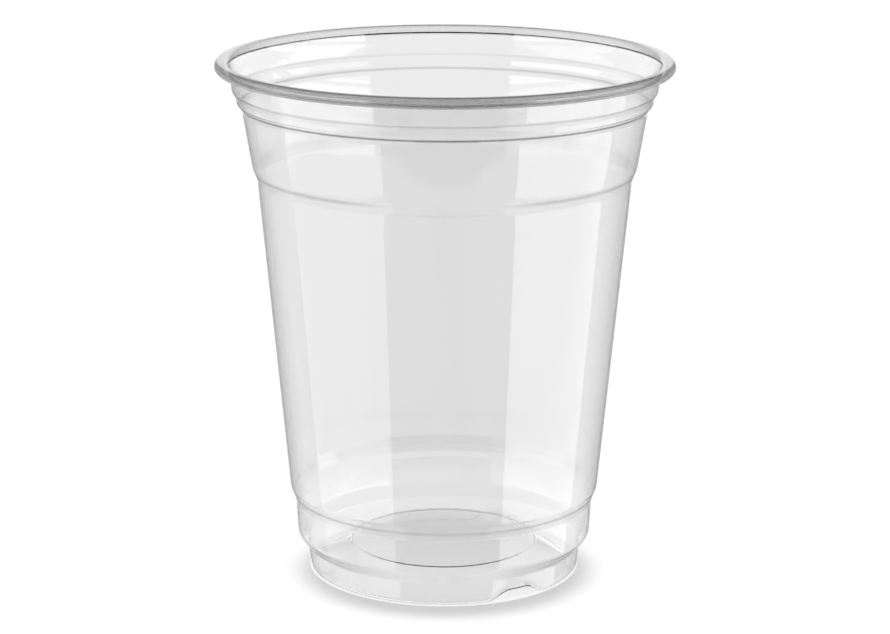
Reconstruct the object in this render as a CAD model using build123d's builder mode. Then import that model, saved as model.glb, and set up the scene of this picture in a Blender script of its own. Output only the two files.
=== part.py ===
import os

from build123d import *

# Clear disposable cup, thermoformed from one sheet.  Millimetres, +Z up.
# The origin is the middle of the foot, on the surface that the cup stands on; -Y is the front.

# Overall sizes
height = 112.5
rim_dia = 98.0
foot_dia = 60.0          # outside, at the top of the foot
sheet = 0.30

# Rolled lip
lip_reach = 3.0          # from the neck out to the edge of the lip
lip_bend = 1.8           # turn from the neck to the top of the lip
curl_height = 2.4
curl_turn = 205          # how far round the curl goes, degrees
curl_tail = 0.9          # straight run of sheet before its trimmed edge

# Zones from the top of the cup down: each has a height and goes in by a little
neck_height, neck_draft = 6.2, 0.55
upper_ledge_height, upper_ledge_width = 1.3, 0.7
collar_height, collar_draft = 1.3, 0.25
lower_ledge_height, lower_ledge_width = 1.7, 1.15
shoulder_height, shoulder_draft = 12.3, 2.05
grip_ledge_height, grip_ledge_width = 2.9, 1.1

# Zones from the floor up: each has a height and goes out by a little
foot_height, foot_draft = 5.3, 0.4
foot_ledge_height, foot_ledge_width = 2.6, 2.15
stack_band_height, stack_band_draft = 7.5, 0.45
stack_ledge_height, stack_ledge_width = 3.2, 1.15

# Base: a shallow cone that rises inside the foot to a flat disc
foot_tread = 2.4         # width of the foot at the floor, between the corners of its bends
disc_dia = 40.0
disc_height = 5.2        # underside of the disc above the floor
disc_step, disc_slope = 0.5, 0.4

# Bend radii of the outside surface
edge_bend = 0.6          # corners of the neck and the collar
collar_bend = 1.0
grip_bend = 2.4
stack_bend = 2.4
corner_bend = 0.8        # inside corners at the ledges near the foot
foot_bend = 1.2
disc_bend = 0.5

# Notches in the foot, which let air and water out from under the base
notch_count = 3
notch_angle = 33.0       # from the front round to the right-hand side, degrees
notch_height = 2.1
notch_top = 6.4          # width of the roof
notch_flank = 3.6        # run of each sloping side
notch_bend = 4.5
notch_sink = 0.1         # the sides run on this far below the floor


# Stations of the outside surface, (radius, height)
rim_radius = rim_dia / 2
curl_radius = curl_height / 2
disc_radius = disc_dia / 2

curl_top = (rim_radius - curl_radius, height - sheet)
neck_top = (rim_radius - lip_reach, height - sheet)
neck_foot = (neck_top[0] - neck_draft, height - neck_height)
collar_top = (neck_foot[0] - upper_ledge_width, neck_foot[1] - upper_ledge_height)
collar_foot = (collar_top[0] - collar_draft, collar_top[1] - collar_height)
shoulder_top = (collar_foot[0] - lower_ledge_width, collar_foot[1] - lower_ledge_height)
shoulder_foot = (shoulder_top[0] - shoulder_draft, shoulder_top[1] - shoulder_height)
wall_top = (shoulder_foot[0] - grip_ledge_width, shoulder_foot[1] - grip_ledge_height)

disc_middle = (0, disc_height)
disc_edge = (disc_radius, disc_height)
cone_top = (disc_radius + disc_slope, disc_height - disc_step)
foot_top = (foot_dia / 2, foot_height)
tread_outer = (foot_top[0] - foot_draft, 0)
tread_inner = (tread_outer[0] - foot_tread, 0)
band_foot = (foot_top[0] + foot_ledge_width, foot_top[1] + foot_ledge_height)
band_top = (band_foot[0] + stack_band_draft, band_foot[1] + stack_band_height)
wall_foot = (band_top[0] + stack_ledge_width, band_top[1] + stack_ledge_height)

# Stations of a notch's underside, (across, height), on a plane that faces out from the middle
notch_plane = Plane.XZ.rotated((0, 0, notch_angle)).offset(disc_radius)
roof_half = notch_top / 2
flank_half = roof_half + notch_flank
arch_stations = (
    (-flank_half - notch_bend, -notch_sink), (-flank_half, -notch_sink),
    (-roof_half, notch_height), (roof_half, notch_height),
    (flank_half, -notch_sink), (flank_half + notch_bend, -notch_sink),
)


# A notch is a low arch pressed up into the foot.  The arch of sheet ends on the outside
# of the foot and on the cone, so it is trimmed to the space between them.
with BuildPart() as foot_space:
    with BuildSketch(Plane.XZ):
        with BuildLine():
            FilletPolyline(
                cone_top, tread_inner, tread_outer, foot_top, band_foot,
                radius=(corner_bend, foot_bend, corner_bend),
            )
            Line(band_foot, cone_top)
        make_face()
    revolve(axis=Axis.Z)

with BuildPart() as notch_arch:
    with BuildSketch(notch_plane):
        with BuildLine():
            FilletPolyline(*arch_stations, radius=notch_bend)
            offset(amount=sheet, side=Side.LEFT)
        make_face()
    extrude(amount=foot_dia / 2)
    add(foot_space.part, mode=Mode.INTERSECT)

with BuildPart() as notch_gap:
    with BuildSketch(notch_plane):
        with BuildLine():
            FilletPolyline(*arch_stations, radius=notch_bend)
            Polyline(arch_stations[-1], (0, -foot_height), arch_stations[0])
        make_face()
    extrude(amount=foot_dia / 2)

# The cup is one sheet.  Its outside surface runs from the middle of the base, over the foot
# and up the walls, and round the lip to the trimmed edge; the sheet lies on its inner side.
with BuildPart() as cup:
    with BuildSketch(Plane.XZ):
        with BuildLine():
            walls = FilletPolyline(
                disc_middle, disc_edge, cone_top, tread_inner, tread_outer,
                foot_top, band_foot, band_top, wall_foot, wall_top,
                shoulder_foot, shoulder_top, collar_foot, collar_top,
                neck_foot, neck_top, curl_top,
                radius=(
                    disc_bend, disc_bend, corner_bend, foot_bend,
                    corner_bend, stack_bend, corner_bend, stack_bend, grip_bend,
                    grip_bend, collar_bend, edge_bend, edge_bend,
                    edge_bend, lip_bend - sheet,
                ),
            )
            curl = JernArc(
                start=walls @ 1, tangent=walls % 1,
                radius=curl_radius - sheet, arc_size=-curl_turn,
            )
            Line(curl @ 1, curl @ 1 + (curl % 1) * curl_tail)
            offset(amount=sheet, side=Side.LEFT)
        make_face()
    revolve(axis=Axis.Z)

    with PolarLocations(0, notch_count):
        add(notch_gap.part, mode=Mode.SUBTRACT)
    with PolarLocations(0, notch_count):
        add(notch_arch.part)

cup.part.label = "cup"
os.makedirs("parts", exist_ok=True)
export_step(cup.part, "parts/cup.step")
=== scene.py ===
import math

import bpy
from mathutils import Matrix, Vector


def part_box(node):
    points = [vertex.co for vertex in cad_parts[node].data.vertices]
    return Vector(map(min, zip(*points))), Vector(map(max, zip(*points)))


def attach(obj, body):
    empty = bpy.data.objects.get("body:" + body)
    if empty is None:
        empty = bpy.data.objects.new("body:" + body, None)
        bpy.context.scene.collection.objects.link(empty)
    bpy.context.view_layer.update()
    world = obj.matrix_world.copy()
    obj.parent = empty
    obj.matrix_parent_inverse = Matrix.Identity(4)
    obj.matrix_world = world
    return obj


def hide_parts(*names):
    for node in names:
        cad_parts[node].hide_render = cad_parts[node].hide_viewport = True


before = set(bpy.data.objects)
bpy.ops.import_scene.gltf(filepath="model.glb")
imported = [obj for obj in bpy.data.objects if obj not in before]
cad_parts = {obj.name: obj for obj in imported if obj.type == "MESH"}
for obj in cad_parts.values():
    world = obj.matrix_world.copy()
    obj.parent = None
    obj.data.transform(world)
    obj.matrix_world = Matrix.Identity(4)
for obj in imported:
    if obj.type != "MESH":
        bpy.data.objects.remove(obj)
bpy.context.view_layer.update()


# ---- The sheet's outline ------------------------------------------------------------------
# The whole cup is one sheet of clear PET, drawn down into a chilled mould.  Its outside surface
# follows the mould, so the outline is that surface: from the middle of the base, over the foot,
# up the walls and ledges, and round the lip to the trimmed edge.

cup_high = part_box("cup")[1]
height = cup_high.z
rim_radius = cup_high.x
sheet = 0.00030

disc_radius, disc_height = 0.0200, 0.0052
disc_step, disc_slope = 0.0005, 0.0004
foot_radius, foot_height, foot_draft, foot_tread = 0.0300, 0.0053, 0.0004, 0.0024

disc_edge = Vector((disc_radius, disc_height))
cone_top = disc_edge + Vector((disc_slope, -disc_step))
foot_top = Vector((foot_radius, foot_height))
tread_outer = Vector((foot_radius - foot_draft, 0))
tread_inner = tread_outer - Vector((foot_tread, 0))

band_foot = foot_top + Vector((0.00215, 0.0026))
band_top = band_foot + Vector((0.00045, 0.0075))
wall_foot = band_top + Vector((0.00115, 0.0032))

lip_reach, lip_bend, curl_radius = 0.0030, 0.0018, 0.0012
curl_turn, curl_tail = math.radians(205), 0.0009

curl_top = Vector((rim_radius - curl_radius, height - sheet))
neck_top = Vector((rim_radius - lip_reach, height - sheet))
neck_foot = Vector((neck_top.x - 0.00055, height - 0.0062))
collar_top = neck_foot - Vector((0.0007, 0.0013))
collar_foot = collar_top - Vector((0.00025, 0.0013))
shoulder_top = collar_foot - Vector((0.00115, 0.0017))
shoulder_foot = shoulder_top - Vector((0.00205, 0.0123))
wall_top = shoulder_foot - Vector((0.0011, 0.0029))

edge_bend, collar_bend, grip_bend, stack_bend = 0.0006, 0.0010, 0.0024, 0.0024
corner_bend, foot_bend, disc_bend = 0.0008, 0.0012, 0.0005

corners = [
    Vector((0, disc_height)), disc_edge, cone_top, tread_inner, tread_outer, foot_top,
    band_foot, band_top, wall_foot, wall_top, shoulder_foot, shoulder_top,
    collar_foot, collar_top, neck_foot, neck_top, curl_top,
]
bends = [
    disc_bend, disc_bend, corner_bend, foot_bend, corner_bend,
    stack_bend, corner_bend, stack_bend, grip_bend, grip_bend, collar_bend,
    edge_bend, edge_bend, edge_bend, lip_bend - sheet,
]


def bent_line(corners, bends, turn=math.radians(7), run=0.003):
    """The points of a line through these corners, each rounded to its bend's radius."""
    points = [corners[0]]
    for before, corner, after, bend in zip(corners, corners[1:], corners[2:], bends):
        come, go = (corner - before).normalized(), (after - corner).normalized()
        angle = come.angle_signed(go)
        start = corner - come * bend * math.tan(abs(angle) / 2)
        to_start = Vector((come.y, -come.x)) * math.copysign(bend, -angle)
        straight(points, start, run)
        steps = max(2, math.ceil(abs(angle) / turn))
        for i in range(1, steps + 1):
            points.append(start - to_start + Matrix.Rotation(-angle * i / steps, 2) @ to_start)
    straight(points, corners[-1], run)
    return points


def straight(points, end, run):
    """Adds a straight run up to end, in pieces no longer than run."""
    start = points[-1].copy()
    steps = max(1, math.ceil((end - start).length / run))
    points.extend(start.lerp(end, i / steps) for i in range(1, steps + 1))


outline = bent_line(corners, bends)

curl_middle = curl_top - Vector((0, curl_radius - sheet))
curl_steps = 26
for i in range(1, curl_steps + 1):
    bent = curl_turn * i / curl_steps
    outline.append(curl_middle + Vector((math.sin(bent), math.cos(bent))) * (curl_radius - sheet))
tail = Vector((math.cos(curl_turn), -math.sin(curl_turn))) * curl_tail
outline.append(outline[-1] + tail)

outline_curve = bpy.data.curves.new("cup_outline", "CURVE")
outline_curve.dimensions = "3D"
spline = outline_curve.splines.new("POLY")
spline.points.add(len(outline) - 1)
for point, place in zip(spline.points, outline):
    point.co = (place.x, 0, place.y, 1)
cup_maker = bpy.data.objects.new("cup_maker", outline_curve)
bpy.context.scene.collection.objects.link(cup_maker)


# ---- The cup ------------------------------------------------------------------------------
# The mould is turned, so the sheet is the outline carried once round.  Three shallow notches
# lift the foot off the table to let air and water out, and the drawn sheet is never quite even:
# faint waves run down the walls, where the plastic stretched.

NOTCH_COUNT, NOTCH_ANGLE = 3, math.radians(33)
NOTCH_HEIGHT, NOTCH_ROOF, NOTCH_FLANK = 0.0021, 0.0040, 0.0056
WAVE_HEIGHT, WAVE_LENGTH, WAVE_STRETCH = 0.00005, 0.014, 0.12
STEPS_ROUND, SAME_POINT = 240, 0.000001


class NodeLine:
    """Adds nodes to a tree and links what they take: a socket, a number, or a vector."""

    def __init__(self, tree):
        self.tree = tree

    def add(self, kind, *takes, out=0, **settings):
        node = self.tree.nodes.new(kind)
        for key, value in settings.items():
            setattr(node, key, value)
        for socket, value in zip([s for s in node.inputs if s.enabled], takes):
            self.feed(socket, value)
        return [s for s in node.outputs if s.enabled][out]

    def feed(self, socket, value):
        if isinstance(value, bpy.types.NodeSocket):
            self.tree.links.new(value, socket)
        elif value is not None:
            socket.default_value = value

    def math(self, operation, *takes):
        return self.add("ShaderNodeMath", *takes, operation=operation)


tree = bpy.data.node_groups.new("turned_sheet", "GeometryNodeTree")
face = tree.interface
face.new_socket("Geometry", in_out="OUTPUT", socket_type="NodeSocketGeometry")
face.new_socket("Geometry", in_out="INPUT", socket_type="NodeSocketGeometry")
cup_sizes = {
    "Rows": ("NodeSocketInt", len(outline)),
    "Steps Round": ("NodeSocketInt", STEPS_ROUND),
    "Notch Count": ("NodeSocketInt", NOTCH_COUNT),
    "Notch Angle": ("NodeSocketFloat", NOTCH_ANGLE),
    "Notch Height": ("NodeSocketFloat", NOTCH_HEIGHT),
    "Notch Roof": ("NodeSocketFloat", NOTCH_ROOF),
    "Notch Flank": ("NodeSocketFloat", NOTCH_FLANK),
    "Notch Fade": ("NodeSocketFloat", cone_top.y),
    "Wave Height": ("NodeSocketFloat", WAVE_HEIGHT),
    "Wave Length": ("NodeSocketFloat", WAVE_LENGTH),
    "Material": ("NodeSocketMaterial", None),
}
for name, (kind, _) in cup_sizes.items():
    face.new_socket(name, in_out="INPUT", socket_type=kind)

made = NodeLine(tree)
given = tree.nodes.new("NodeGroupInput").outputs
rows, around = given["Rows"], given["Steps Round"]

# A flat grid, one row for each point of the outline, is wrapped round the axis.
grid = tree.nodes.new("GeometryNodeMeshGrid")
made.feed(grid.inputs["Vertices X"], made.math("ADD", around, 1.0))
made.feed(grid.inputs["Vertices Y"], rows)
spread = tree.nodes.new("ShaderNodeSeparateXYZ")
made.feed(spread.inputs[0], grid.outputs["UV Map"])
row = made.math("ROUND", made.math("MULTIPLY", spread.outputs[1], made.math("SUBTRACT", rows, 1.0)))
place = made.add(
    "GeometryNodeSampleIndex", given["Geometry"], made.add("GeometryNodeInputPosition"), row,
    data_type="FLOAT_VECTOR", domain="POINT",
)
station = tree.nodes.new("ShaderNodeSeparateXYZ")
made.feed(station.inputs[0], place)
radius, level = station.outputs[0], station.outputs[2]
angle = made.math("MULTIPLY", spread.outputs[0], math.tau)

# How far a point lies to the side of the nearest notch, and how much the notch lifts it.
pitch = made.math("DIVIDE", math.tau, given["Notch Count"])
half_pitch = made.math("MULTIPLY", pitch, 0.5)
from_notch = made.math(
    "WRAP", made.math("SUBTRACT", angle, given["Notch Angle"]),
    half_pitch, made.math("MULTIPLY", half_pitch, -1.0),
)
aside = made.math("ABSOLUTE", made.math("MULTIPLY", radius, made.math("SINE", from_notch)))
roof = made.math("MULTIPLY", given["Notch Roof"], 0.5)
arch = made.add(
    "ShaderNodeMapRange", aside, made.math("ADD", roof, given["Notch Flank"]), roof, 0.0, 1.0,
    interpolation_type="SMOOTHSTEP",
)
fade = made.add("ShaderNodeMapRange", level, 0.0, given["Notch Fade"], 1.0, 0.0)
lift = made.math("MULTIPLY", made.math("MULTIPLY", arch, fade), given["Notch Height"])

# The faint waves left by the draw, long from top to bottom and short round the wall.
turned = made.add(
    "ShaderNodeCombineXYZ", made.math("SINE", angle),
    made.math("MULTIPLY", made.math("COSINE", angle), -1.0), 0.0,
)
wave_place = made.add("ShaderNodeVectorMath", turned, rim_radius, operation="SCALE")
wave_place = made.add(
    "ShaderNodeVectorMath", wave_place,
    made.add("ShaderNodeCombineXYZ", 0.0, 0.0, made.math("MULTIPLY", level, WAVE_STRETCH)),
    operation="ADD",
)
wave = tree.nodes.new("ShaderNodeTexNoise")
wave.noise_dimensions = "3D"
made.feed(wave.inputs["Vector"], wave_place)
made.feed(wave.inputs["Scale"], made.math("DIVIDE", 1.0, given["Wave Length"]))
made.feed(wave.inputs["Detail"], 1.0)
ripple = made.math("MULTIPLY", made.math("SUBTRACT", wave.outputs[0], 0.5), given["Wave Height"])
above_foot = made.math("GREATER_THAN", radius, foot_radius)
reach = made.math("ADD", radius, made.math("MULTIPLY", ripple, above_foot))

moved = made.add(
    "ShaderNodeVectorMath",
    made.add("ShaderNodeVectorMath", turned, reach, operation="SCALE"),
    made.add("ShaderNodeCombineXYZ", 0.0, 0.0, made.math("ADD", level, lift)),
    operation="ADD",
)
sheet_mesh = tree.nodes.new("GeometryNodeSetPosition")
made.feed(sheet_mesh.inputs["Geometry"], grid.outputs["Mesh"])
made.feed(sheet_mesh.inputs["Position"], moved)
closed = tree.nodes.new("GeometryNodeMergeByDistance")
made.feed(closed.inputs["Geometry"], sheet_mesh.outputs[0])
made.feed(closed.inputs["Distance"], SAME_POINT)
smooth = tree.nodes.new("GeometryNodeSetShadeSmooth")
made.feed(smooth.inputs["Geometry"], closed.outputs[0])
real = tree.nodes.new("GeometryNodeRealizeInstances")
made.feed(real.inputs["Geometry"], smooth.outputs[0])
dressed = tree.nodes.new("GeometryNodeSetMaterial")
made.feed(dressed.inputs["Geometry"], real.outputs[0])
made.feed(dressed.inputs["Material"], given["Material"])
made.feed(tree.nodes.new("NodeGroupOutput").inputs[0], dressed.outputs[0])


# ---- Clear plastic ------------------------------------------------------------------------
# PET is stretched while it is soft, which leaves it clear and glossy with the faintest haze.
# Draw lines run down the walls, and the chilled mould leaves a soft orange-peel in the gloss.
# The foot is painted lighter than the walls, a painted light.  The rolled lip and the creases at the
# ledges carry painted shade, set darker on the front half of the cup than on the back half.

PET_IOR = 1.575
# FOOT_PAINTED_LIGHT is painted light: the foot is set lighter than the walls.
WALL_CLEAR, WALL_HAZY, FOOT_PAINTED_LIGHT = 0.842, 0.822, 1.0
# Painted shade on the lip: darker at the front of the cup, and painted lighter at the back.
LIP_FRONT_PAINTED_SHADE, LIP_BACK_PAINTED_LIGHT = 0.58, 0.92
LIP_START, LIP_FULL = neck_top.x + 0.0002, neck_top.x + 0.0012
LIP_LEVEL = height - 0.0035
LIP_FRONT_END, LIP_BACK_END = -0.020, 0.030
# Where the painted crease shade shows: full on the front half, fainter at the back.
FRONT_END, BACK_END, FAINT_AT_BACK, WEAKER_AT_BACK = -0.005, 0.010, 0.10, 0.40
MIDDLE_END, ASIDE_END = 0.011, 0.020
GLOSS_ROUGHNESS, HAZE_ROUGHNESS = 0.015, 0.06
HAZE_SIZE, HAZE_DETAIL, HAZE_FROM, HAZE_FULL = 0.012, 3.0, 0.45, 0.75
DRAW_LINE, DRAW_LINE_STRETCH, DRAW_LINE_DEPTH, DRAW_LINE_DETAIL = 0.0035, 0.06, 0.0000015, 2.0
PEEL_SIZE, PEEL_DEPTH = 0.0022, 0.0000006

clear_pet = bpy.data.materials.new("clear_pet")
clear_pet.use_nodes = True
nodes = clear_pet.node_tree.nodes
nodes.clear()
pet = NodeLine(clear_pet.node_tree)
surface = nodes.new("ShaderNodeBsdfPrincipled")
surface.inputs["IOR"].default_value = PET_IOR
surface.inputs["Transmission Weight"].default_value = 1.0

spot = pet.add("ShaderNodeTexCoord", out=3)
down_the_wall = pet.add("ShaderNodeMapping", spot, None, None, (1.0, 1.0, DRAW_LINE_STRETCH))
lines = nodes.new("ShaderNodeTexNoise")
pet.feed(lines.inputs["Vector"], down_the_wall)
pet.feed(lines.inputs["Scale"], 1 / DRAW_LINE)
pet.feed(lines.inputs["Detail"], DRAW_LINE_DETAIL)
peel = nodes.new("ShaderNodeTexNoise")
pet.feed(peel.inputs["Vector"], spot)
pet.feed(peel.inputs["Scale"], 1 / PEEL_SIZE)
haze = nodes.new("ShaderNodeTexNoise")
pet.feed(haze.inputs["Vector"], down_the_wall)
pet.feed(haze.inputs["Scale"], 1 / HAZE_SIZE)
pet.feed(haze.inputs["Detail"], HAZE_DETAIL)
hazy = pet.add("ShaderNodeMapRange", haze.outputs[0], HAZE_FROM, HAZE_FULL, 0.0, 1.0)

pet.feed(
    surface.inputs["Roughness"],
    pet.add("ShaderNodeMapRange", hazy, 0.0, 1.0, GLOSS_ROUGHNESS, HAZE_ROUGHNESS),
)
station = nodes.new("ShaderNodeSeparateXYZ")
pet.feed(station.inputs[0], spot)
level = station.outputs[2]
outward = pet.math("SQRT", pet.math(
    "ADD", pet.math("POWER", station.outputs[0], 2.0), pet.math("POWER", station.outputs[1], 2.0)
))

# Clearness runs from the wall down to the foot, which is painted lighter, and the lip starts with
# painted shade.
clear = pet.add("ShaderNodeMapRange", hazy, 0.0, 1.0, WALL_CLEAR, WALL_HAZY)
# Painted light: the foot and the band above it are set lighter than the walls.
clear = pet.add("ShaderNodeMapRange", level, band_foot.y, wall_foot.y, FOOT_PAINTED_LIGHT, clear)
shaded_lip = pet.math(
    "MULTIPLY", pet.math("GREATER_THAN", level, LIP_LEVEL),
    pet.add("ShaderNodeMapRange", outward, LIP_START, LIP_FULL, 0.0, 1.0),
)
from_front = station.outputs[1]
# Painted shade on the lip, darkest at the front of the cup and painted lighter at the back.
lip_painted_shade = pet.add(
    "ShaderNodeMapRange", from_front, LIP_FRONT_END, LIP_BACK_END, LIP_FRONT_PAINTED_SHADE, LIP_BACK_PAINTED_LIGHT
)
clear = pet.add("ShaderNodeMapRange", shaded_lip, 0.0, 1.0, clear, lip_painted_shade)

# How much of each painted crease shade shows: all of it on the front half and less at the back.  Some of
# them stop short of the middle.
off_middle = pet.add(
    "ShaderNodeMapRange", pet.math("ABSOLUTE", station.outputs[0]), MIDDLE_END, ASIDE_END, 0.0, 1.0
)
front = pet.add("ShaderNodeMapRange", from_front, FRONT_END, BACK_END, 1.0, FAINT_AT_BACK)
all_round = pet.add("ShaderNodeMapRange", from_front, FRONT_END, BACK_END, 1.0, WEAKER_AT_BACK)
front_sides = pet.math("MULTIPLY", off_middle, front)


def paint_crease_shade(clear, middle, dim_reach, depth, where):
    """Paints shade into the sheet by depth at a level, fading out by its reach above and below it."""
    away = pet.math("ABSOLUTE", pet.math("SUBTRACT", level, middle))
    sharp = pet.add(
        "ShaderNodeMapRange", away, 0.0, dim_reach, 1.0 - depth, 1.0, interpolation_type="SMOOTHSTEP"
    )
    off_base = pet.math("GREATER_THAN", outward, tread_inner.x)
    off_base = pet.add("ShaderNodeMapRange", off_base, 0.0, 1.0, 1.0, sharp)
    return pet.add("ShaderNodeMapRange", where, 0.0, 1.0, clear, pet.math("MULTIPLY", clear, off_base))


# Each painted crease shade: its level, its reach, how much it darkens the sheet, and where it shows.
crease_shades = [
    (shoulder_top.y + 0.0010, 0.0004, 0.75, all_round),
    (collar_top.y + 0.0010, 0.0004, 0.28, all_round),
    (shoulder_foot.y - 0.0010, 0.0007, 0.30, front_sides),
    (wall_foot.y - 0.0015, 0.0006, 0.16, front),
    (wall_foot.y - 0.0015, 0.0006, 0.20, front_sides),
    (band_foot.y - 0.0002, 0.0005, 0.20, front_sides),
]
# Paints the shade of each crease into the sheet's colour.
for middle, dim_reach, depth, where in crease_shades:
    clear = paint_crease_shade(clear, middle, dim_reach, depth, where)

tint = nodes.new("ShaderNodeCombineColor")
for channel in range(3):
    pet.feed(tint.inputs[channel], clear)
pet.feed(surface.inputs["Base Color"], tint.outputs[0])
line_bump = nodes.new("ShaderNodeBump")
pet.feed(line_bump.inputs["Distance"], DRAW_LINE_DEPTH)
pet.feed(line_bump.inputs["Height"], lines.outputs[0])
peel_bump = nodes.new("ShaderNodeBump")
pet.feed(peel_bump.inputs["Distance"], PEEL_DEPTH)
pet.feed(peel_bump.inputs["Height"], peel.outputs[0])
pet.feed(peel_bump.inputs["Normal"], line_bump.outputs[0])
pet.feed(surface.inputs["Normal"], peel_bump.outputs[0])
pet.feed(nodes.new("ShaderNodeOutputMaterial").inputs["Surface"], surface.outputs[0])


# ---- One solid sheet ----------------------------------------------------------------------
# The turned surface gets the sheet's thickness on its inner side, so that the finished cup is
# a closed skin with two faces and a trimmed edge under the lip.

turned_sheet = cup_maker.modifiers.new("turned_sheet", "NODES")
turned_sheet.node_group = tree
sockets = {item.name: item.identifier for item in face.items_tree if item.in_out == "INPUT"}
for name, (_, value) in cup_sizes.items():
    turned_sheet[sockets[name]] = clear_pet if name == "Material" else value

cup_mesh = bpy.data.meshes.new_from_object(
    cup_maker.evaluated_get(bpy.context.evaluated_depsgraph_get())
)
cup_maker.modifiers.remove(turned_sheet)
bpy.data.objects.remove(cup_maker)

cup = bpy.data.objects.new("clear_cup", cup_mesh)
bpy.context.scene.collection.objects.link(cup)
thickness = cup.modifiers.new("sheet", "SOLIDIFY")
thickness.thickness = sheet
thickness.offset = -1.0
thickness.use_even_offset = True
sharp_edge = math.radians(40)
solid_mesh = bpy.data.meshes.new_from_object(
    cup.evaluated_get(bpy.context.evaluated_depsgraph_get())
)
cup.modifiers.remove(thickness)
cup.data = solid_mesh
solid_mesh.name = "clear_cup"
solid_mesh.set_sharp_from_angle(angle=sharp_edge)

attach(cup, "root")
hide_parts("cup")


# ---- Table --------------------------------------------------------------------------------
# A plain white table that runs on into the white background and keeps the cup's shadow.  That
# shadow is faint under clear plastic, so the white is also painted a little darker close round
# the foot, most of all at the front.

TABLE_WHITE, TABLE_GLOW = 0.88, 0.70
SHADE, SHADE_FULL, SHADE_END = 0.66, 0.0270, 0.0355
SHADE_PLACE = (0.0005, -0.0050, 0.0)
TABLE_HALF, TABLE_LEVEL = 4, -0.00005

table_mesh = bpy.data.meshes.new("table")
table_corners = [(-1, -1), (1, -1), (1, 1), (-1, 1)]
table_mesh.from_pydata(
    [(x * TABLE_HALF, y * TABLE_HALF, TABLE_LEVEL) for x, y in table_corners], [], [(0, 1, 2, 3)]
)
table = bpy.data.objects.new("table", table_mesh)
bpy.context.scene.collection.objects.link(table)
table.visible_glossy = False

table_white = bpy.data.materials.new("table_white")
table_white.use_nodes = True
nodes = table_white.node_tree.nodes
nodes.clear()
white = NodeLine(table_white.node_tree)
sight = nodes.new("ShaderNodeLightPath").outputs
seen = white.math("MAXIMUM", sight["Is Camera Ray"], sight["Is Transmission Ray"])
spot = white.add("ShaderNodeTexCoord", out=3)
from_axis = white.add("ShaderNodeVectorMath", spot, operation="LENGTH")
from_shade = white.add("ShaderNodeVectorMath", spot, SHADE_PLACE, operation="DISTANCE")
shade = white.add(
    "ShaderNodeMapRange", from_shade, SHADE_FULL, SHADE_END, SHADE, 1.0,
    interpolation_type="SMOOTHSTEP",
)
under = white.math("LESS_THAN", from_axis, tread_outer.x)
shade = white.math("MAXIMUM", shade, under)
glow = white.add(
    "ShaderNodeEmission", (1, 1, 1, 1),
    white.math("MULTIPLY", shade, white.math("MULTIPLY", seen, TABLE_GLOW)),
)
grey = white.math("MULTIPLY", shade, TABLE_WHITE)
paint = white.add("ShaderNodeBsdfDiffuse", white.add("ShaderNodeCombineColor", grey, grey, grey))
painted = white.add("ShaderNodeAddShader", paint, glow)
white.feed(nodes.new("ShaderNodeOutputMaterial").inputs[0], painted)
table_mesh.materials.append(table_white)


# ---- Studio -------------------------------------------------------------------------------
# White paper behind the cup, dark at its front, and a tall soft box on each side, which the
# walls mirror as two bright bands.  Dark wings beside the paper draw the edges of the cup, and
# the dark ceiling its creases.  Tops and feet are sines of the angle above the table.

DARK_FRONT, WING_LEVEL, CEILING, FILL = 0.08, 0.30, 0.10, 0.42
PAPER, PAPER_THROUGH = 1.0, 0.95
LEFT_BOX, RIGHT_BOX = 1.85, 2.45
LEFT_INNER, LEFT_OUTER, LEFT_TOP = math.radians(-38.5), math.radians(-107), 0.28
RIGHT_INNER, RIGHT_OUTER, RIGHT_TOP = math.radians(45), math.radians(113), 0.16
BOX_FOOT = -0.52
WING_START, WING_FULL = math.radians(118), math.radians(140)
WING_FADE, WING_END = math.radians(163), math.radians(170)
CEILING_START, CEILING_FULL = 0.25, 0.50

world = bpy.data.worlds.new("studio")
bpy.context.scene.world = world
world.use_nodes = True
nodes = world.node_tree.nodes
nodes.clear()
air = NodeLine(world.node_tree)
way = nodes.new("ShaderNodeSeparateXYZ")
air.feed(way.inputs[0], air.add("ShaderNodeTexCoord", out=0))
bearing = air.math("ARCTAN2", way.outputs[0], air.math("MULTIPLY", way.outputs[1], -1.0))
rise = way.outputs[2]


def between(value, low, high):
    """One where the value lies between two others, and nought elsewhere."""
    return air.math("MULTIPLY", air.math("GREATER_THAN", value, low), air.math("LESS_THAN", value, high))


def set_where(level, where, amount):
    """The level, changed to another amount where a mask is one."""
    return air.add("ShaderNodeMapRange", where, 0.0, 1.0, level, amount)


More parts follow.
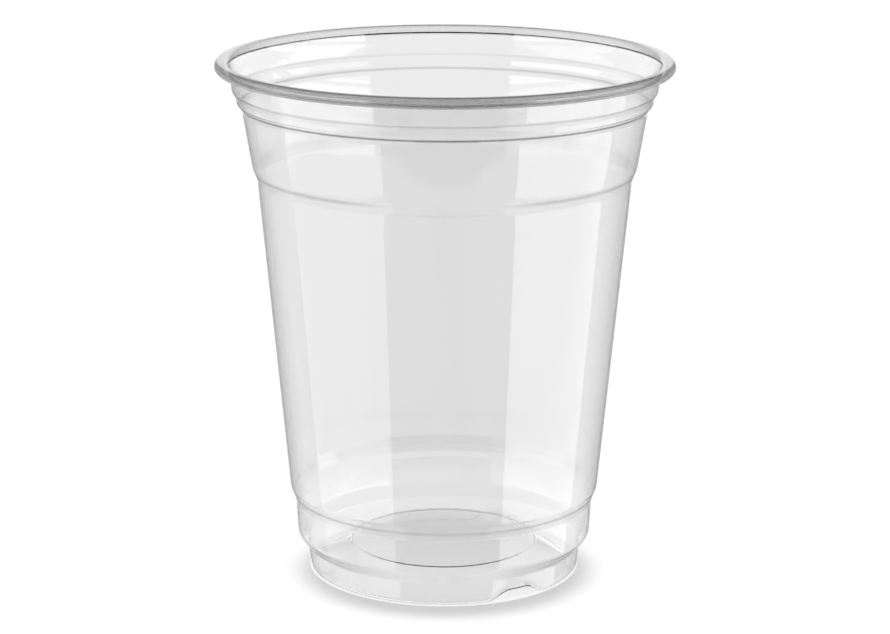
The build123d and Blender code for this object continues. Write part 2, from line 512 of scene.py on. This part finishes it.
left_box = air.math(
    "MULTIPLY", between(bearing, LEFT_OUTER, LEFT_INNER), between(rise, BOX_FOOT, LEFT_TOP)
)
right_box = air.math(
    "MULTIPLY", between(bearing, RIGHT_INNER, RIGHT_OUTER), between(rise, BOX_FOOT, RIGHT_TOP)
)
aside = air.math("ABSOLUTE", bearing)
wings = air.math(
    "MULTIPLY", air.add("ShaderNodeMapRange", aside, WING_START, WING_FULL, 0.0, 1.0),
    air.add("ShaderNodeMapRange", aside, WING_FADE, WING_END, 1.0, 0.0),
)
overhead = air.add("ShaderNodeMapRange", rise, CEILING_START, CEILING_FULL, 0.0, 1.0)

mirrored = set_where(PAPER, between(bearing, LEFT_INNER, RIGHT_INNER), DARK_FRONT)
mirrored = set_where(mirrored, wings, WING_LEVEL)
mirrored = set_where(mirrored, overhead, CEILING)
mirrored = set_where(mirrored, left_box, LEFT_BOX)
mirrored = set_where(mirrored, right_box, RIGHT_BOX)
straight = set_where(PAPER_THROUGH, overhead, CEILING)

# The camera sees white paper.  The walls mirror the studio, what is seen through them is the
# paper, and the table gets an even light from all round.
sight = nodes.new("ShaderNodeLightPath").outputs
level = set_where(straight, air.math("GREATER_THAN", sight["Glossy Depth"], 0.5), mirrored)
level = set_where(level, air.math("GREATER_THAN", sight["Diffuse Depth"], 0.5), FILL)
level = set_where(level, sight["Is Camera Ray"], PAPER)
backdrop = air.add("ShaderNodeBackground", (1, 1, 1, 1), level)
air.feed(nodes.new("ShaderNodeOutputWorld").inputs[0], backdrop)


# ---- Camera -------------------------------------------------------------------------------
# A long lens a little above the cup, which looks down on it.

CAMERA_DISTANCE, CAMERA_HEIGHT = 0.600, 0.2112
CAMERA_PITCH, CAMERA_ROLL, CAMERA_PAN = math.radians(14.53), math.radians(0.18), math.radians(0.014)
LENS = 115.4

eye = bpy.data.cameras.new("camera")
eye.lens = LENS
camera = bpy.data.objects.new("camera", eye)
camera.matrix_world = (
    Matrix.Translation((0, -CAMERA_DISTANCE, CAMERA_HEIGHT))
    @ Matrix.Rotation(-CAMERA_PAN, 4, "Z")
    @ Matrix.Rotation(math.pi / 2 - CAMERA_PITCH, 4, "X")
    @ Matrix.Rotation(CAMERA_ROLL, 4, "Z")
)
bpy.context.scene.collection.objects.link(camera)
bpy.context.scene.camera = camera
bpy.context.scene.view_settings.view_transform = "Standard"
